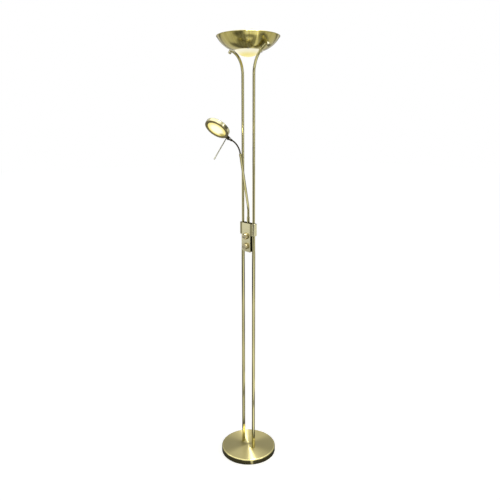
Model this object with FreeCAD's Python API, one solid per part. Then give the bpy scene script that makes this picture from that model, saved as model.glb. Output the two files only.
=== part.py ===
import FreeCAD, Part

import math
import os

# Twin-stem torchiere floor lamp with an uplighter bowl and a jointed reading light. Millimetres, +Z up.
# The origin is on the floor under the middle of the base. The two stems stand on the X axis, and the
# reading light and the dimmer knobs face -Y.

V = FreeCAD.Vector
X_AXIS = V(1, 0, 0)
Y_AXIS = V(0, 1, 0)
Z_AXIS = V(0, 0, 1)

# ---- driving dimensions ----------------------------------------------------------------------------

fit = 0.05                    # radial clearance of what turns or slides together
seat_gap = 0.3                # clearance between pieces that move past each other
head_edge = 0.8               # rounding of the larger screw heads and of the gland

# whole lamp
lamp_height = 1800.0          # floor to the bowl's rim
stem_spacing = 72.0           # centre to centre of the twin stems

# base
base_radius = 122.5
base_height = 25.0
base_sheet = 1.2
base_edge_radius = 5.0
skirt_gap = 1.3               # cover's lower edge above the floor
pad_thickness = 2.5
pad_inset = 3.0               # pad's edge inside the cover's edge
weight_side_gap = 1.8
foot_pocket_radius = 15.0
foot_pocket_depth = 9.0
cord_channel_width = 12.0
cord_channel_height = 13.0
gland_height = 10.0           # centre of the cord entry above the floor
gland_bore_radius = 3.5
gland_spigot_radius = 5.0
gland_flange_radius = 6.5
gland_flange = 2.5
gland_length = 12.0

# foot fixings
nipple_radius = 5.0
nipple_bore_radius = 3.5
nipple_grip = 20.0            # thread taken up inside the stem
foot_washer_radius = 12.0
foot_washer_thickness = 1.6
foot_nut_flats = 17.0
foot_nut_height = 5.0
nipple_tail = 1.0             # nipple showing below the nut

# stems
stem_sheet = 0.8
lower_stem_radius = 7.0
lower_stem_length = 920.0
middle_stem_radius = 6.5
spigot_length = 20.0
upper_stem_radius = 5.5
stem_bend_radius = 105.0
stem_lean = 14.0              # degrees between the stem's end and the bowl's wall

# collar and switch unit
unit_height = 119.0           # top of the lower stems to the top of the collar
collar_height = 50.0
collar_radius = 13.0          # rounded ends of the collar, and half its depth
collar_sheet = 1.5
collar_rim = 0.5              # softened edges of the collar
core_recess = 7.0             # core's top below the collar's top
core_lift = 4.0               # core's underside above the collar's lower edge
core_gap = 0.2
stem_step = 24.0              # where upper and middle stems meet, below the collar's top
apron_inset = 6.0             # apron's side edges inside the stems' centre lines
apron_overhang = 4.0          # apron below the top of the lower stems
apron_depth = 8.0             # front face to the rear edges of its sides
apron_corner = 4.0
apron_foot_corner = 8.0
back_inset = 3.0              # rear box inside the apron's sides
back_depth = 12.0             # rear face behind the stems' plane
back_wall = 1.8
back_corner = 3.0
boss_radius = 3.0
boss_low = 9.5                # lower screw above the apron's foot
set_screw_radius = 2.0
set_screw_length = 6.0
set_screw_slot = 0.8
set_screw_slot_depth = 1.0
set_screw_drop = 15.0         # below the collar's top
case_screw_radius = 1.5
case_screw_head_radius = 2.8
case_screw_head = 2.0
case_screw_length = 12.0      # pilot hole; the screw ends 1 mm short of its bottom
case_screw_end_gap = 1.0
case_cross_reach = 1.8        # arms of the cross recess
case_cross_width = 0.7
case_cross_depth = 1.0

# dimmers and knobs
knob_drop = 55.0              # upper knob's centre below the collar's top
knob_pitch = 43.0
knob_radius = 14.0
knob_face_radius = 12.6
knob_length = 10.5
knob_gap = 0.6                # back of the knob to the apron
knob_recess_radius = 8.4
knob_recess = 3.2
knob_edge = 1.6               # rounding of the face's edge
knob_crown = 0.9              # swell of the face
knob_foot_edge = 0.5
knob_groove_place = 2.0       # groove above the knob's back
knob_groove_width = 0.8
knob_groove_depth = 0.9
spindle_radius = 3.0
spindle_grip = 6.0            # spindle inside the knob
spindle_flat = 2.2            # flat from the spindle's axis
bushing_radius = 4.5
bushing_reach = 3.0           # bushing in front of the apron
pot_size = 16.0
pot_depth = 7.0
pot_corner = 1.5
pot_floor = 2.0               # can's floor behind the spindle
dimmer_nut_flats = 12.0
dimmer_nut_height = 2.0
board_thickness = 1.6
board_width = 46.0
board_height = 62.0
board_foot = 5.0              # board's lower edge above the apron's foot
choke_radius = 6.0
choke_bore_radius = 2.6
choke_thickness = 6.0
choke_place = 13.0            # choke's centre beside the board's middle
capacitor_place = 9.0         # capacitor's near side beside the board's middle
capacitor_width = 11.0
capacitor_height = 18.0
capacitor_depth = 7.0
device_place = 4.0            # power device's near side beside the board's middle
device_size = 10.0
device_top = 3.0              # power device's upper edge above the spindle
device_depth = 4.5

# reading light's arm
swivel_flange_radius = 8.0
swivel_depth = 27.0           # bush inside the core
swivel_sleeve_radius = 6.25
swivel_sleeve_height = 21.0   # sleeve above the collar's top
swivel_sleeve_bevel = 0.8
arm_radius = 5.0
arm_sheet = 0.8
arm_upright = 51.0            # straight part above the collar's top
arm_lean = 10.5               # degrees from upright
arm_bend_radius = 150.0
arm_straight = 202.0
arm_ring_height = 4.0
arm_ring_edge = 0.6
arm_retainer_radius = 7.6
arm_retainer_height = 6.0
ferrule_radius = 5.6
ferrule_length = 16.0
ferrule_overlap = 6.0         # ferrule's plug inside the arm's tube
ferrule_band = 3.0            # straight band before the taper
ferrule_swell = 0.3           # taper's curve: this much in at this part of the way
ferrule_swell_place = 0.56
ferrule_tip_radius = 3.9
neck_radius = 3.0
neck_bore_radius = 2.2
neck_bend_radius = 72.0
neck_end_angle = 66.0         # degrees from upright at the reading head
neck_tip = 8.0
knuckle_radius = 4.75
knuckle_bore_depth = 8.0
knuckle_throw = 8.0           # neck's tip to the tilt screw
knuckle_bevel = 0.5
tongue_thickness = 5.0
tongue_radius = 5.0
tongue_waist = 0.6            # tongue's sides inside its round end

# reading head
head_lift = 40.4              # degrees between the glass and the floor at rest
head_turn = 7.0               # degrees turned about the neck's end at rest
head_radius = 50.0
head_depth = 17.0             # front of the ring to the edge of the dome
head_dome = 7.0
head_sheet = 1.2
head_corner = 3.0
head_reach = 66.0             # tilt screw to the head's axis
head_setback = 12.0           # tilt screw behind the front of the ring
ring_depth = 3.0
ring_opening_radius = 38.5
ring_lip = 4.0
ring_bevel = 1.5              # opening's edge behind the ring's front
ring_bead = 1.0               # small step round the opening
ring_bead_height = 0.6
ring_corner = 2.0             # rounding of the ring's outer edge
ring_seat = 0.4               # glass seat in front of the shell's edge
head_glass_radius = 42.0
head_glass_thickness = 3.0
head_glass_crown = 2.0
reflector_sheet = 0.8
reflector_mouth_radius = 46.0
reflector_rise = 13.0
fork_width = 12.0
fork_height = 10.0
tilt_screw_radius = 2.0
tilt_head_radius = 4.0
tilt_head = 2.5
tilt_slot = 1.0
tilt_slot_depth = 0.9
tilt_nut_flats = 7.0
tilt_nut_height = 3.2
tilt_screw_tail = 0.4         # screw showing past the nut
bracket_screw_radius = 1.25
bracket_screw_length = 6.0    # its hole; the screw is 1 mm shorter
bracket_screw_head_radius = 2.2
bracket_screw_head = 1.3
bracket_screw_offset = 3.4
bracket_screw_level = -1.0    # screws' height from the tilt screw
handle_radius = 2.0
handle_length = 112.0         # below the tilt screw
handle_grip = 2.0             # rod in the fork above the tilt screw
handle_offset = 10.5          # handle's axis from the tilt screw
handle_tip_radius = 2.6
handle_tip_length = 7.0       # solid end of the sleeve
handle_tip_overlap = 2.0      # sleeve over the rod
capsule_radius = 6.0
capsule_length = 36.0
pinch_length = 6.0            # flattened foot of the capsule
pinch_width = 10.4
pinch_thickness = 3.8
pin_radius = 0.7
pin_length = 5.0
pin_spacing = 5.0
capsule_holder_length = 16.0
capsule_holder_width = 15.0
capsule_holder_height = 10.0
capsule_holder_corner = 1.5
capsule_holder_inset = 6.0    # holder's outer end inside the shell's edge

# uplighter bowl
bowl_radius = 125.0
bowl_height = 53.5
bowl_floor_radius = 60.0
bowl_hole_radius = 53.0
bowl_bulge = 8.2              # how far the wall swells beyond a straight cone
bowl_sheet = 1.2
bowl_bead_radius = 1.6
dish_radius = 52.4
dish_flange_radius = 58.5
dish_glass = 3.5
dish_depth = 24.5
dish_neck = 2.0               # straight wall below the flange
clip_count = 3
clip_first_angle = 82.0
clip_width = 9.0
clip_corner = 2.0
clip_sheet = 1.0
clip_inner_radius = 54.5
clip_outer_radius = 65.5
clip_screw_circle = 62.2
clip_screw_radius = 1.5
clip_screw_head_radius = 2.75
clip_screw_head = 1.8
clip_screw_head_edge = 0.9
clip_spacer_radius = 2.4
clip_nut_height = 2.6
clip_nut_edge = 1.2
clip_nut_thread = 1.56        # screw inside the cap nut

# posts between the stems and the bowl
post_inset = 21.0             # rim to where the post's axis meets the outside of the bowl
post_radius = 7.0
post_length = 30.0
post_edge = 0.8
post_groove = 0.5             # shallow turned groove near the outer end
post_groove_drop = 3.2
post_dimple_radius = 3.2      # turned hollow in the end face
post_dimple = 2.0
post_stem_offset = 14.0       # bowl's wall to the stem's axis
post_socket = 5.0             # stem's end short of the post's axis
post_nipple_radius = 4.0
post_nipple_bore_radius = 2.4
post_nipple_grip = 7.0
post_nut_flats = 12.0
post_nut_height = 3.5

# uplighter lamp
bracket_width = 14.0
bracket_sheet = 1.5
bracket_ear = 9.0             # from the post's axis to each end of the ear
lamp_length = 118.0
lamp_radius = 5.0
lamp_cap_radius = 3.6
lamp_cap_length = 14.0
lamp_pinch_radius = 2.0
lamp_pinch = 4.0              # pinched neck between cap and tube
lamp_shoulder = 3.0
lamp_contact = 1.5            # end contact's radius
lamp_contact_length = 1.0
lamp_lift = 14.5              # lamp's axis above the bracket
holder_length = 19.0
holder_width = 20.0
holder_height = 23.0
holder_tower = 11.4           # tall part that carries the cup
holder_step = 7.0             # height of the low part
holder_corner = 2.0
holder_grip = 3.0             # lamp's end inside the holder
holder_screw_radius = 1.2
holder_screw_length = 6.0     # hole above the bracket; the screw is 0.5 mm shorter
holder_screw_head_radius = 2.6
holder_screw_head = 1.6

# ---- derived places --------------------------------------------------------------------------------

stem_x = stem_spacing / 2
post_circle = bowl_radius - post_inset
unit_bottom = base_height + lower_stem_length
collar_top = unit_bottom + unit_height
collar_bottom = collar_top - collar_height
core_top = collar_top - core_recess
core_bottom = collar_bottom + core_lift
stem_joint = collar_top - stem_step
apron_bottom = unit_bottom - apron_overhang
apron_half = stem_x - apron_inset
apron_inner_y = collar_sheet - collar_radius
back_bottom = apron_bottom + collar_sheet + core_gap
back_top = collar_bottom - core_gap
knob_heights = {"upper": collar_top - knob_drop, "lower": collar_top - knob_drop - knob_pitch}
knob_back_y = -collar_radius - knob_gap
bowl_floor = lamp_height - bowl_height
weight_top = base_height - base_sheet


# ---- shape helpers ---------------------------------------------------------------------------------

def save(name, shape):
    """Write one node; a list of solids becomes one group of separate solids."""
    if isinstance(shape, list):
        shape = Part.makeCompound(shape)
    shape.exportStep(f"parts/{name}.step")


def rod(radius, length, start, direction=Z_AXIS):
    return Part.makeCylinder(radius, length, start, direction)


def pipe(outer, inner, length, start, direction=Z_AXIS):
    return rod(outer, length, start, direction).cut(rod(inner, length, start, direction))


def block(x0, x1, y0, y1, z0, z1):
    return Part.makeBox(x1 - x0, y1 - y0, z1 - z0, V(x0, y0, z0))


def hexagon(flats, height, start, direction=Z_AXIS, bore=0.0):
    """A hexagonal nut or head standing on start."""
    corner = flats / math.sqrt(3)
    points = [V(corner * math.cos(math.radians(60 * k)), corner * math.sin(math.radians(60 * k)), 0)
              for k in range(7)]
    nut = Part.Face(Part.makePolygon(points)).extrude(V(0, 0, height))
    if bore:
        nut = nut.cut(rod(bore, height, V(0, 0, 0)))
    nut.Placement = FreeCAD.Placement(start, FreeCAD.Rotation(Z_AXIS, direction))
    return nut


def profile(steps):
    """A closed face in the XZ plane from (r, z) points; a step of two points is an arc through the first."""
    edges = []
    last = first = V(steps[0][0], 0, steps[0][1])
    for step in steps[1:]:
        if len(step) == 4:
            end = V(step[2], 0, step[3])
            edges.append(Part.Arc(last, V(step[0], 0, step[1]), end).toShape())
        else:
            end = V(step[0], 0, step[1])
            edges.append(Part.makeLine(last, end))
        last = end
    if last.distanceToPoint(first) > 1e-6:
        edges.append(Part.makeLine(last, first))
    return Part.Face(Part.Wire(edges))


def turned(steps):
    """A solid of revolution about Z."""
    return profile(steps).revolve(V(0, 0, 0), Z_AXIS, 360)


def bent_pipe(outer, inner, start, heading, hinge, moves):
    """A pipe along straight runs and arcs; hinge is the axis that the arcs turn about.

    A move is (length,) or (bend radius, degrees). Returns the solid, its end and its last heading.
    """
    parts = []
    place, ahead = V(start), V(heading).normalize()
    for move in moves:
        ring = Part.Face([Part.Wire(Part.makeCircle(outer, place, ahead)),
                          Part.Wire(Part.makeCircle(inner, place, ahead))])
        if len(move) == 1:
            parts.append(ring.extrude(ahead * move[0]))
            place = place + ahead * move[0]
        else:
            centre = place + hinge.cross(ahead) * move[0]
            parts.append(ring.revolve(centre, hinge, move[1]))
            turn = FreeCAD.Rotation(hinge, move[1])
            place = centre + turn.multVec(place - centre)
            ahead = turn.multVec(ahead)
    return parts[0].fuse(parts[1:]).removeSplitter(), place, ahead


def stadium(half_length, radius, z0, z1):
    """An upright block with round ends, long along X."""
    solid = block(-half_length, half_length, -radius, radius, z0, z1)
    ends = [rod(radius, z1 - z0, V(side * half_length, 0, z0)) for side in (-1, 1)]
    return solid.fuse(ends).removeSplitter()


def edges_where(shape, test):
    return [edge for edge in shape.Edges if test(edge)]


def upright(edge):
    box = edge.BoundBox
    return box.ZLength > 1 and box.XLength < 1e-6 and box.YLength < 1e-6


def along_y(edge):
    box = edge.BoundBox
    return box.YLength > 1 and box.XLength < 1e-6 and box.ZLength < 1e-6


# ---- base ------------------------------------------------------------------------------------------

def base_cover():
    """Spun steel cover: a flat top, a soft edge and an upright skirt, open below."""
    r, h, e, t = base_radius, base_height, base_edge_radius, base_sheet
    bend = math.sqrt(0.5)
    outer_mid = (r - e + e * bend, h - e + e * bend)
    inner_mid = (r - e + (e - t) * bend, h - e + (e - t) * bend)
    cover = turned([(0, h), (r - e, h), (*outer_mid, r, h - e), (r, skirt_gap), (r - t, skirt_gap),
                    (r - t, h - e), (*inner_mid, r - e, h - t), (0, h - t)])
    for side in (-1, 1):
        cover = cover.cut(rod(nipple_radius + seat_gap, h, V(side * stem_x, 0, 0)))
    entry = rod(gland_spigot_radius + fit, 2 * gland_length, V(0, r - gland_length, gland_height), Y_AXIS)
    return cover.cut(entry)


def base_weight():
    """Cast-iron disc with a pocket under each stem and a T-shaped channel for the leads."""
    r = base_radius - base_sheet - weight_side_gap
    low, high, e = pad_thickness, weight_top, base_edge_radius
    weight = turned([(0, low), (r, low), (r, high - e), (r - e, high), (0, high)])
    half = cord_channel_width / 2
    channel_top = low + cord_channel_height
    weight = weight.cut(block(-stem_x, stem_x, -half, half, low, channel_top))
    weight = weight.cut(block(-half, half, 0, base_radius, low, channel_top))
    for side in (-1, 1):
        weight = weight.cut(rod(foot_pocket_radius, foot_pocket_depth, V(side * stem_x, 0, low)))
        weight = weight.cut(rod(nipple_radius + seat_gap, high, V(side * stem_x, 0, 0)))
    return weight


def base_pad():
    return rod(base_radius - base_sheet - pad_inset, pad_thickness, V(0, 0, 0))


def cord_gland():
    """Flanged bush in the skirt, behind the stems, where the cord comes in."""
    face = base_radius
    bush = rod(gland_spigot_radius, gland_length, V(0, face - gland_length, gland_height), Y_AXIS)
    outer_face = face + gland_flange
    flange = rod(gland_flange_radius, gland_flange, V(0, face, gland_height), Y_AXIS)
    flange = flange.makeFillet(head_edge, edges_where(flange, lambda e: e.BoundBox.YMin > outer_face - 0.01))
    bore = rod(gland_bore_radius, 2 * gland_length, V(0, face - gland_length, gland_height), Y_AXIS)
    return bush.fuse(flange).cut(bore).removeSplitter()


def foot_fixings():
    """Hollow threaded nipples, washers, nuts and the inserts in the stems' lower ends."""
    washer_top = pad_thickness + foot_pocket_depth
    washer_low = washer_top - foot_washer_thickness
    nut_low = washer_low - foot_nut_height
    nipple_low = nut_low - nipple_tail
    nipple_length = base_height + nipple_grip - nipple_low
    nipples, washers, nuts, inserts = [], [], [], []
    for side in (-1, 1):
        x = side * stem_x
        nipples.append(pipe(nipple_radius, nipple_bore_radius, nipple_length, V(x, 0, nipple_low)))
        washers.append(pipe(foot_washer_radius, nipple_radius, foot_washer_thickness, V(x, 0, washer_low)))
        nuts.append(hexagon(foot_nut_flats, foot_nut_height, V(x, 0, nut_low), bore=nipple_radius))
        inserts.append(pipe(lower_stem_radius - stem_sheet, nipple_radius, nipple_grip, V(x, 0, base_height)))
    save("foot_nipples", nipples)
    save("foot_washers", washers)
    save("foot_nuts", nuts)
    save("foot_inserts", inserts)


# ---- stems -----------------------------------------------------------------------------------------

def lower_stem(side):
    inner = lower_stem_radius - stem_sheet
    return pipe(lower_stem_radius, inner, lower_stem_length, V(side * stem_x, 0, base_height))


def middle_stem(side):
    """Sleeve through the switch unit, with a reduced spigot that plugs into the lower stem."""
    bore = middle_stem_radius - 1.5 * stem_sheet
    spigot = lower_stem_radius - stem_sheet - fit
    low, high = unit_bottom - spigot_length, stem_joint
    sleeve = turned([(bore, low), (spigot, low), (spigot, unit_bottom), (middle_stem_radius, unit_bottom),
                     (middle_stem_radius, high), (bore, high)])
    sleeve.translate(V(side * stem_x, 0, 0))
    return sleeve


def bowl_wall_centre():
    """Centre (r, z) and radius of the arc that shapes the bowl's outside."""
    run = bowl_radius - bowl_floor_radius
    chord = math.hypot(run, bowl_height)
    radius = chord * chord / (8 * bowl_bulge) + bowl_bulge / 2
    inward, upward = -bowl_height / chord, run / chord
    middle_r, middle_z = (bowl_radius + bowl_floor_radius) / 2, bowl_floor + bowl_height / 2
    back = radius - bowl_bulge
    return middle_r + inward * back, middle_z + upward * back, radius


def bowl_wall_at(r):
    """Height of the bowl's outside at r, and its outward normal as (radial, up)."""
    cr, cz, radius = bowl_wall_centre()
    z = cz - math.sqrt(radius * radius - (r - cr) ** 2)
    return z, (r - cr) / radius, (z - cz) / radius


def post_frame(side):
    """Where a post's axis meets the bowl, the post's direction, and the direction up the wall."""
    z, out, up = bowl_wall_at(post_circle)
    foot = V(side * post_circle, 0, z)
    return foot, V(side * out, 0, up), V(-side * up, 0, out)


def stem_end(side):
    """Where a stem's axis meets its post's axis, and the stem's direction there."""
    foot, normal, tangent = post_frame(side)
    lean = math.radians(stem_lean)
    return foot + normal * post_stem_offset, tangent * math.cos(lean) + normal * math.sin(lean)


def stem_bend():
    """Degrees of the upper stem's bend, its straight end run and the height where it starts to bend."""
    joint, heading = stem_end(1)
    turn = math.atan2(heading.x, heading.z)
    run = (joint.x - stem_x - stem_bend_radius * (1 - math.cos(turn))) / math.sin(turn)
    start = joint.z - stem_bend_radius * math.sin(turn) - run * math.cos(turn)
    return math.degrees(turn), run, start


def upper_stem(side):
    """Slim tube that rises from the collar and sweeps outwards along the bowl to its post."""
    degrees, run, start = stem_bend()
    moves = [(start - stem_joint,), (stem_bend_radius, degrees), (run - post_socket,)]
    bore = upper_stem_radius - stem_sheet
    foot = V(side * stem_x, 0, stem_joint)
    return bent_pipe(upper_stem_radius, bore, foot, Z_AXIS, Y_AXIS * side, moves)[0]


# ---- collar and switch unit ------------------------------------------------------------------------

def collar():
    """Cast band round both stems, in one piece with the apron that carries the two dimmers."""
    band = stadium(stem_x, collar_radius, collar_bottom, collar_top)
    rims = edges_where(band, lambda e: e.BoundBox.ZLength < 1e-6)
    band = band.makeFillet(collar_rim, rims)
    band = band.cut(stadium(stem_x, collar_radius - collar_sheet, collar_bottom, collar_top))
    front, rear = -collar_radius, apron_depth - collar_radius
    height = collar_bottom + collar_rim
    outer = block(-apron_half, apron_half, front, rear, apron_bottom, height)
    feet = edges_where(outer, lambda e: along_y(e) and e.BoundBox.ZMax < apron_bottom + 1)
    outer = outer.makeFillet(apron_foot_corner, feet)
    sides = edges_where(outer, lambda e: upright(e) and e.BoundBox.YMax < front + 1)
    outer = outer.makeFillet(apron_corner, sides)
    t = collar_sheet
    inner = block(t - apron_half, apron_half - t, front + t, rear, apron_bottom + t, height)
    feet = edges_where(inner, lambda e: along_y(e) and e.BoundBox.ZMax < apron_bottom + t + 1)
    inner = inner.makeFillet(apron_foot_corner - t, feet)
    inner = inner.cut(block(-apron_half, apron_half, front, front + t, apron_bottom, height))
    shell = band.fuse(outer.cut(inner))
    boss_length = back_depth - back_wall - apron_inner_y
    for z in boss_heights():
        shell = shell.fuse(rod(boss_radius, boss_length, V(0, apron_inner_y, z), Y_AXIS))
    for z in boss_heights():
        shell = shell.cut(rod(case_screw_radius, case_screw_length, case_screw_start(z), -Y_AXIS))
    for z in knob_heights.values():
        shell = shell.cut(rod(bushing_radius + 2 * fit, 3 * t, V(0, front - t, z), Y_AXIS))
    for side in (-1, 1):
        shell = shell.cut(rod(set_screw_radius + fit, collar_radius, set_screw_start(side), Y_AXIS))
    return shell.removeSplitter()


def boss_heights():
    """Case screws: one under the lower dimmer, one midway between the two."""
    return [apron_bottom + boss_low, collar_top - knob_drop - knob_pitch / 2]


def case_screw_start(z):
    return V(0, back_depth - back_wall, z)


def set_screw_start(side):
    return V(side * stem_x, upper_stem_radius, collar_top - set_screw_drop)


def collar_core():
    """Moulded core that grips the stems and the reading arm's bush inside the collar."""
    core = stadium(stem_x, collar_radius - collar_sheet - core_gap, core_bottom, core_top)
    low = core_bottom - 1
    for side in (-1, 1):
        x = side * stem_x
        core = core.cut(rod(middle_stem_radius + fit, stem_joint - low, V(x, 0, low)))
        core = core.cut(rod(upper_stem_radius + fit, core_top, V(x, 0, low)))
        core = core.cut(rod(set_screw_radius, collar_radius, set_screw_start(side), Y_AXIS))
    bush_low = core_top - swivel_depth
    core = core.cut(rod(swivel_flange_radius, core_top, V(0, 0, bush_low)))
    return core.cut(rod(arm_retainer_radius + 2 * seat_gap, core_top, V(0, 0, low)))


def set_screws():
    """Grub screws from the rear that lock the upper stems in the core, slotted at the outer end."""
    screws = []
    for side in (-1, 1):
        start = set_screw_start(side)
        screw = rod(set_screw_radius - fit, set_screw_length, start, Y_AXIS)
        end = start.y + set_screw_length
        half = set_screw_slot / 2
        slot = block(start.x - set_screw_radius, start.x + set_screw_radius, end - set_screw_slot_depth,
                     end + 1, start.z - half, start.z + half)
        screws.append(screw.cut(slot))
    return screws


def switch_back():
    """Black moulded box behind the apron, between the stems, open to the front."""
    half = apron_half - back_inset
    front = apron_inner_y + core_gap
    outer = block(-half, half, front, back_depth, back_bottom, back_top)
    feet = edges_where(outer, lambda e: along_y(e) and e.BoundBox.ZMax < back_bottom + 1)
    outer = outer.makeFillet(apron_foot_corner - collar_sheet, feet)
    rear_edges = edges_where(outer, lambda e: e.BoundBox.YMin > back_depth - 0.01)
    outer = outer.makeFillet(back_corner, rear_edges)
    w = back_wall
    inner = block(w - half, half - w, front - w, back_depth - w, back_bottom + w, back_top - w)
    box = outer.cut(inner)
    for z in boss_heights():
        box = box.cut(rod(case_screw_radius + fit, 3 * w, V(0, back_depth - 2 * w, z), Y_AXIS))
    reach = pot_size / 2 + seat_gap
    can_back = apron_inner_y + pot_depth + seat_gap
    for z in knob_heights.values():
        box = box.cut(block(-reach, reach, front - w, can_back, z - reach, z + reach))
    return box


def case_screws():
    """Cross-recessed screws through the rear box into the collar's bosses."""
    length = case_screw_length - case_screw_end_gap + back_wall
    face = back_depth + case_screw_head
    reach, half = case_cross_reach, case_cross_width / 2
    screws = []
    for z in boss_heights():
        shank = rod(case_screw_radius - fit, length, V(0, back_depth, z), -Y_AXIS)
        head = rod(case_screw_head_radius, case_screw_head, V(0, back_depth, z), Y_AXIS)
        head = head.makeFillet(head_edge, edges_where(head, lambda e: e.BoundBox.YMin > back_depth + 1))
        across = block(-reach, reach, face - case_cross_depth, face + 1, z - half, z + half)
        down = block(-half, half, face - case_cross_depth, face + 1, z - reach, z + reach)
        screws.append(shank.fuse(head).cut(across.fuse(down)))
    return screws


def dimmer(z):
    """Rotary dimmer: a square can behind the apron with a threaded bushing through it."""
    half = pot_size / 2
    can = block(-half, half, apron_inner_y, apron_inner_y + pot_depth, z - half, z + half)
    can = can.makeFillet(pot_corner, edges_where(can, along_y))
    nose = rod(bushing_radius, collar_sheet + bushing_reach, V(0, apron_inner_y, z), -Y_AXIS)
    bore_depth = collar_sheet + bushing_reach + pot_depth - pot_floor
    bore = rod(spindle_radius + fit, bore_depth, V(0, -collar_radius - bushing_reach, z), Y_AXIS)
    return can.fuse(nose).cut(bore)


def dimmer_nuts():
    bore = bushing_radius + fit
    return [hexagon(dimmer_nut_flats, dimmer_nut_height, V(0, -collar_radius, z), -Y_AXIS, bore)
            for z in knob_heights.values()]


def dimmer_board():
    """Circuit board behind the two dimmers with a choke, a capacitor and two power devices."""
    y0 = apron_inner_y + pot_depth
    y1 = y0 + board_thickness
    low = apron_bottom + board_foot
    board = block(-board_width / 2, board_width / 2, y0, y1, low, low + board_height)
    for z in boss_heights():
        board = board.cut(rod(boss_radius + seat_gap, 3 * board_thickness, V(0, y0 - 1, z), Y_AXIS))
    middle = boss_heights()[1]
    inner_x, outer_x = capacitor_place, capacitor_place + capacitor_width
    half = capacitor_height / 2
    pieces = [pipe(choke_radius, choke_bore_radius, choke_thickness, V(choke_place, y1, middle), Y_AXIS),
              block(-outer_x, -inner_x, y1, y1 + capacitor_depth, middle - half, middle + half)]
    for z in knob_heights.values():
        top = z + device_top
        pieces.append(block(device_place, device_place + device_size, y1, y1 + device_depth,
                            top - device_size, top))
    return [board] + pieces


def knob(z):
    """Turned knob: a tapered drum with a softened, slightly domed face and a recess over the nut."""
    edge, face, foot = knob_edge, knob_length, knob_foot_edge
    flat = knob_face_radius - edge
    bend = edge * math.sqrt(0.5)
    body = turned([(0, knob_recess), (knob_recess_radius, knob_recess), (knob_recess_radius, 0),
                   (knob_radius - foot, 0), (knob_radius, foot), (knob_face_radius, face - edge),
                   (flat + bend, face - edge + bend, flat, face),
                   (*dome(flat, face, knob_crown), 0, face + knob_crown)])
    body = body.cut(rod(spindle_radius + fit / 2, spindle_grip, V(0, 0, 0)))
    floor = knob_radius - knob_groove_depth
    body = body.cut(pipe(knob_radius + 1, floor, knob_groove_width, V(0, 0, knob_groove_place)))
    body.Placement = FreeCAD.Placement(V(0, knob_back_y, z), FreeCAD.Rotation(Z_AXIS, -Y_AXIS))
    return body


def spindle(z):
    """Dimmer's spindle: from inside the can to the bottom of the knob's bore, with a flat."""
    start = apron_inner_y + pot_depth - pot_floor - seat_gap
    length = start - knob_back_y + spindle_grip
    shaft = rod(spindle_radius, length, V(0, start, z), -Y_AXIS)
    flat = block(-spindle_radius, spindle_radius, start - length, knob_back_y, z + spindle_flat,
                 z + 2 * spindle_radius)
    return shaft.cut(flat)


# ---- reading light's arm ---------------------------------------------------------------------------

def swivel_bush():
    """Flanged bush in the core with the bright sleeve that stands above the collar."""
    low = core_top - swivel_depth
    high = collar_top + swivel_sleeve_height
    bore, bevel = arm_radius + fit, swivel_sleeve_bevel
    return turned([(bore, low), (swivel_flange_radius, low), (swivel_flange_radius, core_top),
                   (swivel_sleeve_radius, core_top), (swivel_sleeve_radius, high - bevel),
                   (swivel_sleeve_radius - bevel, high), (bore, high)])


def arm_foot():
    return V(0, 0, core_top - swivel_depth - seat_gap - arm_retainer_height)


def arm_tube():
    """Tube that stands in the bush and leans forwards above it. Returns its end and heading too."""
    foot = arm_foot()
    moves = [(collar_top + arm_upright - foot.z,), (arm_bend_radius, arm_lean), (arm_straight,)]
    return bent_pipe(arm_radius, arm_radius - arm_sheet, foot, Z_AXIS, X_AXIS, moves)


def arm_ring():
    """Thrust ring that rests on the sleeve and carries the arm."""
    low = collar_top + swivel_sleeve_height + seat_gap
    ring = pipe(swivel_sleeve_radius, arm_radius + fit / 2, arm_ring_height, V(0, 0, low))
    width = 2 * swivel_sleeve_radius - 0.1
    rims = edges_where(ring, lambda e: e.BoundBox.XLength > width and e.BoundBox.ZLength < 0.01)
    return ring.makeFillet(arm_ring_edge, rims)


def arm_retainer():
    """Ring at the arm's foot, under the bush, that keeps the arm from lifting out."""
    return pipe(arm_retainer_radius, arm_radius + fit / 2, arm_retainer_height, arm_foot())


def arm_ferrule(end, heading):
    """Turned reducer from the arm's tube to the thin neck."""
    bore, plug = neck_radius + fit / 2, arm_radius - arm_sheet - fit
    tip = ferrule_length - ferrule_overlap
    piece = turned([(bore, -ferrule_overlap), (plug, -ferrule_overlap), (plug, 0), (ferrule_radius, 0),
                    (ferrule_radius, ferrule_band),
                    (ferrule_radius - ferrule_swell, tip * ferrule_swell_place, ferrule_tip_radius, tip),
                    (bore, tip)])
    piece.Placement = FreeCAD.Placement(end, FreeCAD.Rotation(Z_AXIS, heading))
    return piece


def arm_neck(end, heading):
    """Thin tube that arches over from the ferrule to the reading head. Returns its tip and heading too."""
    moves = [(ferrule_length,), (neck_bend_radius, neck_end_angle - arm_lean), (neck_tip,)]
    start = end - heading * ferrule_overlap
    return bent_pipe(neck_radius, neck_bore_radius, start, heading, X_AXIS, moves)


def turned_at_head(angle):
    """Placement at the tilt screw: local X is the screw, tipped by angle and turned about the neck's end."""
    turn = FreeCAD.Rotation(neck_heading, head_turn)
    return FreeCAD.Placement(tilt_centre, turn.multiply(FreeCAD.Rotation(X_AXIS, angle)))


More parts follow.
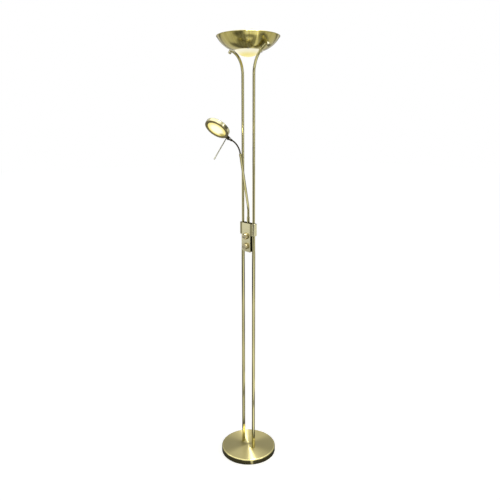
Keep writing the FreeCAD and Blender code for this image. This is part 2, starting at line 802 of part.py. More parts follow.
def knuckle():
    """Swivel on the neck's end: a barrel on the tube and a flat tongue for the tilt screw."""
    low = -knuckle_throw - knuckle_bore_depth
    barrel_top = -tongue_radius - 2 * seat_gap
    r, bevel, bore = knuckle_radius, knuckle_bevel, neck_radius + fit
    bore_end = -knuckle_throw + seat_gap
    barrel = turned([(bore, low), (r - bevel, low), (r, low + bevel), (r, barrel_top - bevel),
                     (r - bevel, barrel_top), (0, barrel_top), (0, bore_end), (bore, bore_end)])
    half, half_width = tongue_thickness / 2, tongue_radius - tongue_waist
    tongue = block(-half, half, -half_width, half_width, barrel_top - bevel, 0)
    tongue = tongue.fuse(rod(tongue_radius, tongue_thickness, V(-half, 0, 0), X_AXIS))
    tongue = tongue.cut(rod(bore, knuckle_bore_depth, V(0, 0, bore_end - knuckle_bore_depth)))
    piece = barrel.fuse(tongue).cut(rod(tilt_screw_radius + fit, tongue_thickness, V(-half, 0, 0), X_AXIS))
    piece = piece.removeSplitter()
    piece.Placement = turned_at_head(neck_end_angle)
    return piece


# ---- reading head: built level, with the tilt screw at the origin and the glass facing down ----------

def place_head(shape):
    """Carry a piece of the head from its level frame to its rest pose."""
    shapes = shape if isinstance(shape, list) else [shape]
    for piece in shapes:
        piece.Placement = turned_at_head(-head_lift).multiply(piece.Placement)
    return shape


def about_head_axis(steps):
    solid = turned(steps)
    solid.translate(V(0, -head_reach, 0))
    return solid


def head_levels():
    """Heights in the head's own frame: front of the ring, start of the shell, edge of the dome."""
    front = -head_setback
    return front, front + ring_depth, front + head_depth


def dome(radius, low, rise):
    """Height of a point half way out on a dome of this radius and rise."""
    sphere = (radius * radius + rise * rise) / (2 * rise)
    half = radius / 2
    return half, low + rise - sphere + math.sqrt(sphere * sphere - half * half)


def head_form(inset):
    """Profile of the shell's outside, or of its inside when inset by the sheet."""
    front, seam, edge = head_levels()
    r, c = head_radius - inset, head_corner - inset
    bend = math.sqrt(0.5) * c
    crown = edge + head_dome - inset
    rim = edge - inset
    middle = dome(r - c, rim, head_dome)
    corner = (r - c + bend, rim - c + bend)
    return [(0, seam), (r, seam), (r, rim - c), (*corner, r - c, rim), (*middle, 0, crown)]


def bracket_screw_places(y):
    return [V(x, y, bracket_screw_level) for x in (-bracket_screw_offset, bracket_screw_offset)]


def head_shell():
    """Spun drum with a soft back edge and a shallow dome."""
    shell = about_head_axis(head_form(0)).cut(about_head_axis(head_form(head_sheet)))
    for start in bracket_screw_places(head_radius - head_reach - 3 * head_sheet):
        shell = shell.cut(rod(bracket_screw_radius + fit, 4 * head_sheet, start, Y_AXIS))
    return shell


def head_ring():
    """Bezel: a bevelled face round the glass and a lip that snaps inside the shell."""
    front, seam, edge = head_levels()
    r, opening, c = head_radius, ring_opening_radius, ring_corner
    lip = r - head_sheet - 2 * fit
    bend = c * math.sqrt(0.5)
    return about_head_axis([
        (opening, front + ring_bevel), (opening + ring_bead, front + ring_bead_height), (r - c, front),
        (r - c + bend, front + c - bend, r, front + c), (r, seam), (lip, seam), (lip, seam + ring_lip),
        (lip - head_sheet, seam + ring_lip), (lip - head_sheet, seam - ring_seat),
        (opening, seam - ring_seat)])


def head_glass():
    """Frosted disc with a shallow crown, held behind the ring's opening."""
    front, seam, edge = head_levels()
    low = seam - ring_seat
    r = ring_opening_radius - 2 * seat_gap
    half, rise = dome(r, 0, head_glass_crown)
    return about_head_axis([
        (0, low - head_glass_crown), (half, low - rise, r, low), (head_glass_radius, low),
        (head_glass_radius, low + head_glass_thickness), (0, low + head_glass_thickness)])


def capsule_holder_box(grow):
    """Envelope of the lamp holder, lying across the head from the bracket's side."""
    front, seam, edge = head_levels()
    end = head_radius - head_reach - capsule_holder_inset
    half = capsule_holder_width / 2 + grow
    low = seam + head_glass_thickness + 2 * seat_gap
    return block(-half, half, end - capsule_holder_length - grow, end + grow, low - grow,
                 low + capsule_holder_height + grow)


def capsule_axis():
    """Start of the capsule lamp at the holder's face, on the holder's centre line."""
    box = capsule_holder_box(0).BoundBox
    return V(0, box.YMin, (box.ZMin + box.ZMax) / 2)


def head_reflector():
    """Pressed dish between the glass and the shell, cut away round the lamp holder."""
    front, seam, edge = head_levels()
    low = seam + head_glass_thickness + seat_gap
    r, rise, t = reflector_mouth_radius, reflector_rise, reflector_sheet
    outer = dome(r, low, rise)
    inner = dome(r - t, low, rise - t)
    dish = about_head_axis([(r, low), (*outer, 0, low + rise), (0, low + rise - t), (*inner, r - t, low)])
    slot = capsule_axis()
    length = slot.y + head_reach
    dish = dish.cut(rod(capsule_radius + 2 * seat_gap, length, slot, -Y_AXIS))
    return dish.cut(capsule_holder_box(seat_gap))


def capsule_holder():
    """Ceramic two-pin lamp holder."""
    body = capsule_holder_box(0)
    body = body.makeFillet(capsule_holder_corner, edges_where(body, along_y))
    for x in (-pin_spacing / 2, pin_spacing / 2):
        body = body.cut(rod(pin_radius + 4 * fit, pin_length + 1, capsule_axis() + V(x, 0, 0), Y_AXIS))
    return body


def capsule_lamp():
    """Halogen capsule: a pinched foot with two pins and a round envelope with a domed end."""
    start = capsule_axis()
    half_w, half_t, pin_x = pinch_width / 2, pinch_thickness / 2, pin_spacing / 2
    neck_low = start.y - 1.5 * pinch_length
    neck = block(-half_w, half_w, neck_low, start.y, start.z - half_t, start.z + half_t)
    bulb_length = capsule_length - capsule_radius - pinch_length
    bulb = rod(capsule_radius, bulb_length, start - V(0, pinch_length, 0), -Y_AXIS)
    tip = Part.makeSphere(capsule_radius, start - V(0, capsule_length - capsule_radius, 0))
    pins = [rod(pin_radius, pin_length, start + V(x, 0, 0), Y_AXIS) for x in (-pin_x, pin_x)]
    return bulb.fuse([tip, neck]).removeSplitter().fuse(pins)


def head_bracket():
    """Cast fork: two cheeks for the tilt screw and a foot that seats on the shell's side."""
    half_w, half_h = fork_width / 2, fork_height / 2
    seat = head_radius - head_reach
    body = block(-half_w, half_w, seat - fork_height, 0, -half_h, half_h)
    body = body.fuse(rod(half_h, fork_width, V(-half_w, 0, 0), X_AXIS)).removeSplitter()
    body = body.cut(about_head_axis(head_form(0)))
    slot_half = tongue_thickness / 2 + seat_gap
    slot_end = tongue_radius + 4 * seat_gap
    body = body.cut(block(-slot_half, slot_half, -slot_end, fork_height, -fork_height, fork_height))
    body = body.cut(rod(tilt_screw_radius + fit, fork_width, V(-half_w, 0, 0), X_AXIS))
    body = body.cut(rod(handle_radius + fit / 2, fork_height, handle_root(), -Z_AXIS))
    for start in bracket_screw_places(seat - head_sheet):
        body = body.cut(rod(bracket_screw_radius, bracket_screw_length, start, Y_AXIS))
    return body


def bracket_screws():
    """Two small screws from inside the shell into the fork's foot."""
    inner = head_radius - head_sheet
    seat = math.sqrt(inner ** 2 - bracket_screw_offset ** 2) - head_reach - seat_gap
    screws = []
    for start in bracket_screw_places(seat):
        shank = rod(bracket_screw_radius - fit, bracket_screw_length - 1, start, Y_AXIS)
        screws.append(shank.fuse(rod(bracket_screw_head_radius, bracket_screw_head, start, -Y_AXIS)))
    return screws


def tilt_screw():
    """Hinge screw through fork and tongue, with a slotted round head."""
    half = fork_width / 2
    outer = -half - tilt_head
    shank = rod(tilt_screw_radius, fork_width + tilt_nut_height + tilt_screw_tail, V(-half, 0, 0), X_AXIS)
    head = rod(tilt_head_radius, tilt_head, V(-half, 0, 0), -X_AXIS)
    head = head.makeFillet(head_edge, edges_where(head, lambda e: e.BoundBox.XMax < outer + 0.01))
    r, slot_half = tilt_head_radius, tilt_slot / 2
    return shank.fuse(head).cut(block(outer - 1, outer + tilt_slot_depth, -r, r, -slot_half, slot_half))


def tilt_nut():
    bore = tilt_screw_radius + fit / 2
    return hexagon(tilt_nut_flats, tilt_nut_height, V(fork_width / 2, 0, 0), X_AXIS, bore)


def handle_root():
    return V(0, -handle_offset, handle_grip)


def head_handle():
    """Straight rod beside the ring, parallel to the light's axis, for aiming the hot head."""
    return rod(handle_radius, handle_length + handle_grip - handle_tip_length, handle_root(), -Z_AXIS)


def handle_tip():
    """Rounded sleeve on the end of the rod."""
    r, bore = handle_tip_radius, handle_radius + fit / 2
    bend = r * math.sqrt(0.5)
    start = -handle_length
    floor = start + handle_tip_length
    mouth = floor + handle_tip_overlap
    tip = turned([(0, start), (bend, start + r - bend, r, start + r), (r, mouth), (bore, mouth),
                  (bore, floor), (0, floor)])
    tip.translate(V(0, -handle_offset, 0))
    return tip


# ---- uplighter bowl --------------------------------------------------------------------------------

def bowl():
    """Spun bowl: a flat ring for the glass, a swelling wall and a rolled bead at the rim."""
    cr, cz, radius = bowl_wall_centre()
    t, floor = bowl_sheet, bowl_floor
    bead = bowl_bead_radius
    thin = radius - t

    def wall(z, reach):
        return cr + math.sqrt(reach ** 2 - (cz - z) ** 2), z

    top, middle = lamp_height - bead, (floor + lamp_height) / 2
    shell = turned([(bowl_hole_radius, floor), (bowl_floor_radius, floor),
                    (*wall(middle, radius), *wall(top, radius)), wall(top, thin),
                    (*wall(middle, thin), *wall(floor + t, thin)), (bowl_hole_radius, floor + t)])
    ring = Part.makeTorus(bowl_radius - bead, bead, V(0, 0, top))
    shell = shell.fuse(ring)
    for side in (-1, 1):
        foot, normal, tangent = post_frame(side)
        shell = shell.cut(rod(post_nipple_radius + fit, 6 * t, foot - normal * 3 * t, normal))
    for angle in clip_angles():
        shell = shell.cut(rod(clip_screw_radius + fit, 10 * t, clip_point(angle, floor - 5 * t)))
    return shell.removeSplitter()


def clip_angles():
    return [clip_first_angle + k * 360 / clip_count for k in range(clip_count)]


def clip_point(angle, z):
    a = math.radians(angle)
    return V(clip_screw_circle * math.cos(a), clip_screw_circle * math.sin(a), z)


def bowl_dish():
    """Frosted glass dish that hangs through the bowl's hole on its flange."""
    seat = bowl_floor + bowl_sheet
    bottom = seat - dish_depth
    r, t = dish_radius, dish_glass
    wall_low = seat - dish_neck
    half, fall = dome(r, 0, wall_low - bottom)
    inner_half, inner_fall = dome(r - t, 0, wall_low - bottom - t)
    return turned([
        (0, bottom), (half, wall_low - fall, r, wall_low), (r, seat), (dish_flange_radius, seat),
        (dish_flange_radius, seat + t), (r - t, seat + t), (r - t, wall_low),
        (inner_half, wall_low - inner_fall, 0, bottom + t)])


def dish_clips():
    """Flat spring tabs that hold the dish's flange down."""
    low = bowl_floor + bowl_sheet + dish_glass
    clips = []
    half = clip_width / 2
    for angle in clip_angles():
        clip = block(clip_inner_radius, clip_outer_radius, -half, half, low, low + clip_sheet)
        corners = edges_where(clip, lambda e: abs(e.BoundBox.ZLength - clip_sheet) < 0.01)
        clip = clip.makeFillet(clip_corner, corners)
        clip = clip.cut(rod(clip_screw_radius + fit, 3 * clip_sheet, V(clip_screw_circle, 0, low - 1)))
        clip.rotate(V(0, 0, 0), Z_AXIS, angle)
        clips.append(clip)
    return clips


def clip_screws():
    """Screw, spacer and round cap nut of each glass clip, as one group."""
    clip_low = bowl_floor + bowl_sheet + dish_glass
    head_low = clip_low + clip_sheet
    wall_z, out, up = bowl_wall_at(clip_screw_circle)
    slope = abs(out / up)
    nut_top = wall_z - slope * clip_screw_head_radius - 2 * fit
    nut_low = nut_top - clip_nut_height
    shank_low = nut_top - clip_nut_thread
    spacer_low = wall_z + bowl_sheet / abs(up) + slope * clip_spacer_radius + 2 * fit
    groups = []
    for angle in clip_angles():
        shank = rod(clip_screw_radius, head_low - shank_low, clip_point(angle, shank_low))
        head = rod(clip_screw_head_radius, clip_screw_head, clip_point(angle, head_low))
        rim = edges_where(head, lambda e: e.BoundBox.ZMin > head_low + 1)
        groups.append(shank.fuse(head.makeFillet(clip_screw_head_edge, rim)))
        nut = rod(clip_screw_head_radius, clip_nut_height, clip_point(angle, nut_low))
        rim = edges_where(nut, lambda e: e.BoundBox.ZMax < nut_top - 1)
        groups.append(nut.makeFillet(clip_nut_edge, rim).cut(shank))
        place = clip_point(angle, spacer_low)
        groups.append(pipe(clip_spacer_radius, clip_screw_radius, clip_low - spacer_low, place))
    return groups


def bowl_post(side):
    """Turned post square to the bowl's wall, with a side socket that the stem's end plugs into."""
    foot, normal, tangent = post_frame(side)
    joint, heading = stem_end(side)
    r, length, e, groove = post_radius, post_length, post_edge, post_groove
    neck_top = length - post_groove_drop
    post = turned([(0, 0), (r, 0), (r, neck_top - 3 * groove), (r - groove, neck_top - 2 * groove),
                   (r - groove, neck_top - groove), (r, neck_top), (r, length - e), (r - e, length),
                   (0, length)])
    post = post.cut(rod(post_dimple_radius, post_dimple, V(0, 0, length - post_dimple)))
    post = post.cut(rod(post_nipple_radius, post_stem_offset, V(0, 0, 0)))
    post.Placement = FreeCAD.Placement(foot, FreeCAD.Rotation(Z_AXIS, normal))
    post = post.cut(rod(upper_stem_radius + fit / 2, 2 * r, joint - heading * post_socket, -heading))
    post = post.cut(rod(post_nipple_bore_radius, post_socket + 1, joint, -heading))
    return post.cut(bowl_outer_form())


def bowl_outer_form():
    """Solid inside the bowl's outer surface, for trimming what seats on it."""
    cr, cz, radius = bowl_wall_centre()
    mid_r = (bowl_floor_radius + bowl_radius) / 2
    mid_z = cz - math.sqrt(radius ** 2 - (mid_r - cr) ** 2)
    return turned([(0, bowl_floor), (bowl_floor_radius, bowl_floor), (mid_r, mid_z, bowl_radius, lamp_height),
                   (0, lamp_height)])


def post_nipples():
    """Hollow threaded nipples through bracket, bowl and post."""
    reach = bowl_sheet + bracket_sheet + post_nut_height + nipple_tail
    length = reach + post_nipple_grip
    nipples = []
    for side in (-1, 1):
        foot, normal, tangent = post_frame(side)
        start = foot - normal * reach
        nipples.append(pipe(post_nipple_radius - fit, post_nipple_bore_radius, length, start, normal))
    return nipples


def post_nuts():
    nuts = []
    for side in (-1, 1):
        foot, normal, tangent = post_frame(side)
        seat = foot - normal * (bowl_sheet + bracket_lift() + bracket_sheet)
        nuts.append(hexagon(post_nut_flats, post_nut_height, seat, -normal, post_nipple_radius))
    return nuts


# ---- uplighter lamp --------------------------------------------------------------------------------

def bracket_lift():
    """Gap that keeps the flat ear clear of the curved wall."""
    cr, cz, radius = bowl_wall_centre()
    inner = radius - bowl_sheet
    along = inner - math.sqrt(inner * inner - bracket_ear ** 2)
    across = (bracket_width / 2) ** 2 / (2 * (post_circle - bracket_ear))
    return along + across


def bracket_level():
    """Underside of the lamp bracket's flat run."""
    foot, normal, tangent = post_frame(1)
    return (foot - normal * (bowl_sheet + bracket_lift()) - tangent * bracket_ear).z


def lamp_bracket():
    """Pressed steel strip across the bowl, with an ear on the wall at each post."""
    t, half = bracket_sheet, bracket_width / 2
    points = []
    for side in (-1, 1):
        foot, normal, tangent = post_frame(side)
        face = foot - normal * (bowl_sheet + bracket_lift())
        points.append((face + tangent * bracket_ear, face - tangent * bracket_ear, normal))
    (left_end, left_bend, left_out), (right_end, right_bend, right_out) = points
    corner = t * math.tan(math.acos(-right_out.z) / 2)
    upper = [right_end - right_out * t, right_bend + V(-corner, 0, t), left_bend + V(corner, 0, t),
             left_end - left_out * t]
    outline = [left_end, left_bend, right_bend, right_end] + upper + [left_end]
    strip = Part.Face(Part.makePolygon(outline)).extrude(V(0, bracket_width, 0))
    strip.translate(V(0, -half, 0))
    for side in (-1, 1):
        foot, normal, tangent = post_frame(side)
        strip = strip.cut(rod(post_nipple_radius + fit, 8 * t, foot - normal * 6 * t, normal))
    for place in holder_screw_places():
        strip = strip.cut(rod(holder_screw_radius + 6 * fit, 2 * t, place))
    return strip


def lamp_axis_height():
    return bracket_level() + bracket_sheet + lamp_lift


def holder_screw_places():
    """Where the holders' screws pass through the underside of the bracket."""
    x = lamp_length / 2 - holder_grip + holder_length / 2
    return [V(side * x, 0, bracket_level()) for side in (-1, 1)]


def lamp_holder(side):
    """Ceramic end holder: a stepped block with a round cup that takes the lamp's cap."""
    near = lamp_length / 2 - holder_grip
    low = bracket_level() + bracket_sheet
    half, top = holder_width / 2, low + holder_height
    body = block(near, near + holder_length, -half, half, low, top)
    body = body.makeFillet(holder_corner, edges_where(body, lambda e: e.BoundBox.ZMin > low + 1))
    body = body.cut(block(near + holder_tower, near + 2 * holder_length, -half, half, low + holder_step, top))
    mouth = V(near, 0, lamp_axis_height())
    body = body.cut(rod(lamp_cap_radius + seat_gap, holder_grip + 2 * fit, mouth, X_AXIS))
    place = holder_screw_places()[1]
    body = body.cut(rod(holder_screw_radius + fit, bracket_sheet + holder_screw_length, place))
    if side < 0:
        body = body.mirror(V(0, 0, 0), X_AXIS)
    return body


def holder_screws():
    """Screws from under the bracket into the two holders."""
    screws = []
    for place in holder_screw_places():
        shank = rod(holder_screw_radius, bracket_sheet + holder_screw_length - 0.5, place)
        screws.append(shank.fuse(rod(holder_screw_head_radius, holder_screw_head, place, -Z_AXIS)))
    return screws


def linear_lamp():
    """Double-ended linear halogen lamp: quartz tube, pinched ends, ceramic caps and end contacts."""
    half = lamp_length / 2
    neck = half - lamp_cap_length
    r, c, p, b = lamp_radius, lamp_cap_radius, lamp_pinch_radius, lamp_contact
    shoulder, tube = neck - lamp_pinch, neck - lamp_pinch - lamp_shoulder
    end = half - lamp_contact_length
    lamp = turned([(0, -half), (b, -half), (b, -end), (c, -end), (c, -neck), (p, -neck), (p, -shoulder),
                   (r, -tube), (r, tube), (p, shoulder), (p, neck), (c, neck), (c, end), (b, end), (b, half),
                   (0, half)])
    lamp.Placement = FreeCAD.Placement(V(0, 0, lamp_axis_height()), FreeCAD.Rotation(Z_AXIS, X_AXIS))
    return lamp


# ---- write every node ------------------------------------------------------------------------------

os.makedirs("parts", exist_ok=True)

save("base_cover", base_cover())
save("base_weight", base_weight())
save("base_pad", base_pad())
save("cord_gland", cord_gland())
foot_fixings()

for side_name, sign in (("left", -1), ("right", 1)):
    save(f"lower_stem_{side_name}", lower_stem(sign))
    save(f"middle_stem_{side_name}", middle_stem(sign))
    save(f"upper_stem_{side_name}", upper_stem(sign))
    save(f"bowl_post_{side_name}", bowl_post(sign))
    save(f"lamp_holder_{side_name}", lamp_holder(sign))

save("collar", collar())
save("collar_core", collar_core())
save("set_screws", set_screws())
save("switch_back", switch_back())
save("case_screws", case_screws())
save("dimmer_nuts", dimmer_nuts())
save("dimmer_board", dimmer_board())
for level, height in knob_heights.items():
    save(f"dimmer_{level}", dimmer(height))
    save(f"spindle_{level}", spindle(height))
    save(f"knob_{level}", knob(height))

tube, tube_end, tube_heading = arm_tube()
neck, neck_end, neck_heading = arm_neck(tube_end, tube_heading)
tilt_centre = neck_end + neck_heading * knuckle_throw

save("swivel_bush", swivel_bush())
save("arm_tube", tube)
save("arm_ring", arm_ring())
save("arm_retainer", arm_retainer())
save("arm_ferrule", arm_ferrule(tube_end, tube_heading))
save("arm_neck", neck)
save("knuckle", knuckle())

save("head_shell", place_head(head_shell()))
save("head_ring", place_head(head_ring()))
save("head_glass", place_head(head_glass()))
save("head_reflector", place_head(head_reflector()))
save("capsule_holder", place_head(capsule_holder()))
save("capsule_lamp", place_head(capsule_lamp()))
save("head_bracket", place_head(head_bracket()))
save("bracket_screws", place_head(bracket_screws()))
save("tilt_screw", place_head(tilt_screw()))
save("tilt_nut", place_head(tilt_nut()))
save("head_handle", place_head(head_handle()))
save("handle_tip", place_head(handle_tip()))

save("bowl", bowl())
save("bowl_dish", bowl_dish())
save("dish_clips", dish_clips())
save("clip_screws", clip_screws())
save("post_nipples", post_nipples())
save("post_nuts", post_nuts())
save("lamp_bracket", lamp_bracket())
save("holder_screws", holder_screws())
save("linear_lamp", linear_lamp())

screw_axis = turned_at_head(0).Rotation.multVec(X_AXIS)
print("tilt centre", [round(c, 3) for c in tilt_centre])
print("neck heading", [round(c, 5) for c in neck_heading])
print("tilt axis", [round(c, 5) for c in screw_axis])
print("knob heights", knob_heights, "knob back", knob_back_y)
print("bracket level", round(bracket_level(), 2), "lamp axis", round(lamp_axis_height(), 2))
print("stem bend, run, start", [round(c, 2) for c in stem_bend()])
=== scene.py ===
import math

import bpy
import numpy as np
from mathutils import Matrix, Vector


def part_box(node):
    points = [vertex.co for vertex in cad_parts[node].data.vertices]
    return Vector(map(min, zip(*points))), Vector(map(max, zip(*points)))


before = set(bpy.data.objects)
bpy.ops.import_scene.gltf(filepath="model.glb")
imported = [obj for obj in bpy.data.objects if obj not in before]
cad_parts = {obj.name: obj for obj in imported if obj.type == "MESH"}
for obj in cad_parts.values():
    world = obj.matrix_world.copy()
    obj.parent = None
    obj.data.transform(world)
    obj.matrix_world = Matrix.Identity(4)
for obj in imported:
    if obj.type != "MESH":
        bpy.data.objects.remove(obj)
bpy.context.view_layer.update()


# ---- studio ----------------------------------------------------------------------------------------
# A white sweep with soft lamps. Polished brass shows what stands round it, so flags and cards that only
# reflections meet stand in the white, as a photographer sets them up to draw lines down the tubes.

class Flow:
    """A value on its way through a material. Sums, products and powers of it add Math nodes."""

    def __init__(self, tree, socket=None):
        self.tree = tree
        self.socket = socket

    def node(self, kind, settings=(), inputs=(), output=0):
        """Add a node: its settings first, then its sockets' values or links."""
        made = self.tree.nodes.new(kind)
        for name, value in dict(settings).items():
            setattr(made, name, value)
        for name, value in dict(inputs).items():
            if isinstance(value, Flow):
                self.tree.links.new(value.socket, made.inputs[name])
            else:
                made.inputs[name].default_value = value
        return Flow(self.tree, made.outputs[output] if made.outputs else None)

    def maths(self, operation, *values):
        return self.node("ShaderNodeMath", {"operation": operation}, dict(enumerate(values)))

    def __add__(self, other):
        return self.maths("ADD", self, other)

    def __sub__(self, other):
        return self.maths("SUBTRACT", self, other)

    def __rsub__(self, other):
        return self.maths("SUBTRACT", other, self)

    def __mul__(self, other):
        return self.maths("MULTIPLY", self, other)

    def __truediv__(self, other):
        return self.maths("DIVIDE", self, other)

    def __rtruediv__(self, other):
        return self.maths("DIVIDE", other, self)

    def __pow__(self, other):
        return self.maths("POWER", self, other)

    __radd__ = __add__
    __rmul__ = __mul__


def rise(value, start, end):
    """0 below start, 1 above end and a smooth rise between them; start may be the larger."""
    return value.node("ShaderNodeMapRange", {"interpolation_type": "SMOOTHSTEP"},
                      {"Value": value, "From Min": start, "From Max": end})


def xyz(vector):
    """The three numbers of a vector."""
    return [vector.node("ShaderNodeSeparateXYZ", (), {0: vector}, output=axis) for axis in range(3)]


def level_length(right, back):
    """Length of a level run, kept a sliver above 0 so that it can divide."""
    return (right * right + back * back) ** 0.5 + 0.001


def finish(name):
    """A new material and the start of its flow."""
    material = bpy.data.materials.new(name)
    material.use_nodes = True
    material.node_tree.nodes.clear()
    return material, Flow(material.node_tree)


def any_ray(flow, *kinds):
    """1 for a ray that is of one of these kinds, and 0 for any other."""
    found = flow.node("ShaderNodeLightPath", output=kinds[0])
    for kind in kinds[1:]:
        found = found.maths("MAXIMUM", found, flow.node("ShaderNodeLightPath", output=kind))
    return found


def shown(flow):
    """1 for rays that should meet the white background: from the camera, and through or off the lamp."""
    return any_ray(flow, "Is Camera Ray", "Is Glossy Ray", "Is Transmission Ray")


def sector(run, side, start, end):
    """1 in a sector seen from above, fading between two cosines of the angle to its middle.

    run is a level run's share to the right, its share to the back, and its length; side is the sector's
    middle in degrees, round from the front towards the right.
    """
    right, back, length = run
    turned = math.radians(side)
    return rise((right * math.sin(turned) - back * math.cos(turned)) / length, start, end)


view_side = math.radians(52)          # round from the front towards the right
view_distance = 2.130                 # camera to the lamp's axis, level
view_height = 1.423
view_pitch = math.radians(12.6)
view_turn = math.radians(0.19)        # keeps the lamp a little left of the middle
sensor_width, focal_length = 36.0, 36.94

camera = bpy.data.objects.new("camera", bpy.data.cameras.new("camera"))
camera.data.sensor_width = sensor_width
camera.data.lens = focal_length
camera.location = (view_distance * math.sin(view_side), -view_distance * math.cos(view_side), view_height)
camera.rotation_euler = (math.pi / 2 - view_pitch, 0, view_side - view_turn)
bpy.context.scene.collection.objects.link(camera)
bpy.context.scene.camera = camera
bpy.context.scene.view_settings.view_transform = "Standard"

# The white all round, and what reflections meet in it. A height is the sine of a ray's angle above the
# horizon and comes as where a tone starts and where it is full; a sector is its side and two cosines.
ambient = 0.50                        # what matt surfaces meet; the white background is 1
low_heights = (-0.18, -0.26)
flag_heights, flag_sector, flag_depth = (-0.03, -0.09), (45, 0.78, 0.91), 0.98
side_flag_heights, side_flag_sector, side_flag_depth = (0.40, 0.20), (58, 0.93, 0.76), 0.82
ceiling_heights, ceiling_glow = (0.60, 0.80), 1.3
front_card_sector, front_card_glow = (70, 0.72, 0.88), 1.65
sweep_heights, sweep_glow, ground_glow = (-0.28, -0.36), 0.85, 0.12

studio = bpy.data.worlds.new("studio")
bpy.context.scene.world = studio
studio.use_nodes = True
studio.node_tree.nodes.clear()
around = Flow(studio.node_tree)
east, north, height = xyz(around.node("ShaderNodeTexCoord", output="Generated"))
ray_run = (east, north, level_length(east, north))
low = rise(height, *low_heights)
under_horizon = rise(height, *flag_heights)
dark_flag = sector(ray_run, *flag_sector) * under_horizon
side_flags = sector(ray_run, *side_flag_sector) * rise(height, *side_flag_heights) * (1.0 - under_horizon)
ceiling = rise(height, *ceiling_heights)
front_card = sector(ray_run, *front_card_sector) * front_card_glow
sweep = rise(height, *sweep_heights) * sweep_glow + ground_glow
above = 1.0 - dark_flag * flag_depth - side_flags * side_flag_depth + ceiling * ceiling_glow
below = front_card.maths("MAXIMUM", front_card, sweep)
mirrored = above * (1.0 - low) + below * low
taken_away = any_ray(around, "Is Glossy Ray") * (1.0 - mirrored)
brightness = shown(around) * (1.0 - ambient) + ambient - taken_away
background = around.node("ShaderNodeBackground", inputs={"Color": (1, 1, 1, 1), "Strength": brightness})
around.node("ShaderNodeOutputWorld", inputs={"Surface": background})

# The floor: matt white paper that glows a little towards the white background. Reflections meet a grey
# cloth there instead, with cards on it. Edges are distances from the lamp's axis in metres.
floor_reach = 20
paper_white, paper_glow = (0.80, 0.80, 0.80, 1), 0.605
foot_edges = (0.26, 0.16)             # the strip round the base, which its wall reflects
cloth_edges, open_edges = (1.4, 1.0), (2.2, 1.7)
wide_card_sector, wide_card_glow = (70, 0.72, 0.88), 1.30
near_card_edges, far_card_edges = (0.50, 0.42), (0.98, 1.10)
patch_sector, patch_edges, patch_glow = (-48, 0.80, 0.93), (0.75, 1.10), 0.70
strip_across, strip_along = 0.366, 0.930          # a level direction; a bright strip lies square to it
strip_distance, strip_edges, strip_glow = 0.655, (0.11, 0.04), 1.7
thin_card_sector, thin_card_glow = (60, 0.990, 0.999), 3.4
cloth_glow, outer_glow, least_glow = 0.16, 0.09, 0.07

floor_mesh = bpy.data.meshes.new("floor")
floor_mesh.from_pydata([(-floor_reach, -floor_reach, 0), (floor_reach, -floor_reach, 0),
                        (floor_reach, floor_reach, 0), (-floor_reach, floor_reach, 0)], [], [(0, 1, 2, 3)])
floor = bpy.data.objects.new("floor", floor_mesh)
bpy.context.scene.collection.objects.link(floor)
paper, sheet = finish("white_paper")
matt = sheet.node("ShaderNodeBsdfDiffuse", inputs={"Color": paper_white})
lift = sheet.node("ShaderNodeEmission", inputs={"Strength": shown(sheet) * paper_glow})
lit = sheet.node("ShaderNodeAddShader", inputs={0: matt, 1: lift})
across, along = xyz(sheet.node("ShaderNodeTexCoord", output="Object"))[:2]
out = level_length(across, along)
floor_run = (across, along, out)
close_by = rise(out, *foot_edges)
wide_card = sector(floor_run, *wide_card_sector) * (rise(out, *near_card_edges) + rise(out, *far_card_edges))
patch = sector(floor_run, *patch_sector) * rise(out, *patch_edges)
thin_card = sector(floor_run, *thin_card_sector)
strip_way = across * strip_across + along * strip_along - strip_distance
strip = rise(strip_way.maths("ABSOLUTE", strip_way), *strip_edges)
cloth = rise(out, *cloth_edges) * cloth_glow + wide_card * wide_card_glow + patch * patch_glow
cloth = cloth + strip * strip_glow + outer_glow
tone = cloth * (1.0 - close_by) + close_by * thin_card * thin_card_glow + least_glow
shade_cloth = sheet.node("ShaderNodeEmission", inputs={"Strength": tone})
clear = sheet.node("ShaderNodeBsdfTransparent")
covered = rise(out, *open_edges)
mirrored_floor = sheet.node("ShaderNodeMixShader", inputs={0: covered, 1: clear, 2: shade_cloth})
mirror_ray = any_ray(sheet, "Is Glossy Ray")
paper_surface = sheet.node("ShaderNodeMixShader", inputs={0: mirror_ray, 1: lit, 2: mirrored_floor})
sheet.node("ShaderNodeOutputMaterial", inputs={"Surface": paper_surface})
floor_mesh.materials.append(paper)

# A low standing card, which only reflections meet.
card_side, card_distance = math.radians(66), 0.50
card_width, card_height, card_glow = 0.62, 0.28, 1.6

card_foot = np.array((math.sin(card_side), -math.cos(card_side), 0)) * card_distance
half_card = np.array((math.cos(card_side), math.sin(card_side), 0)) * card_width / 2
card_top = np.array((0, 0, card_height))
card_mesh = bpy.data.meshes.new("low_card")
card_mesh.from_pydata([card_foot - half_card, card_foot + half_card,
                       card_foot + half_card + card_top, card_foot - half_card + card_top],
                      [], [(0, 1, 2, 3)])
low_card = bpy.data.objects.new("low_card", card_mesh)
bpy.context.scene.collection.objects.link(low_card)
card_paper, card = finish("card_paper")
card_light = card.node("ShaderNodeEmission", inputs={"Strength": card_glow})
card.node("ShaderNodeOutputMaterial", inputs={"Surface": card_light})
card_mesh.materials.append(card_paper)
low_card.visible_camera = low_card.visible_diffuse = low_card.visible_shadow = False

lamp_middle = 0.9                     # height that the soft lamps face


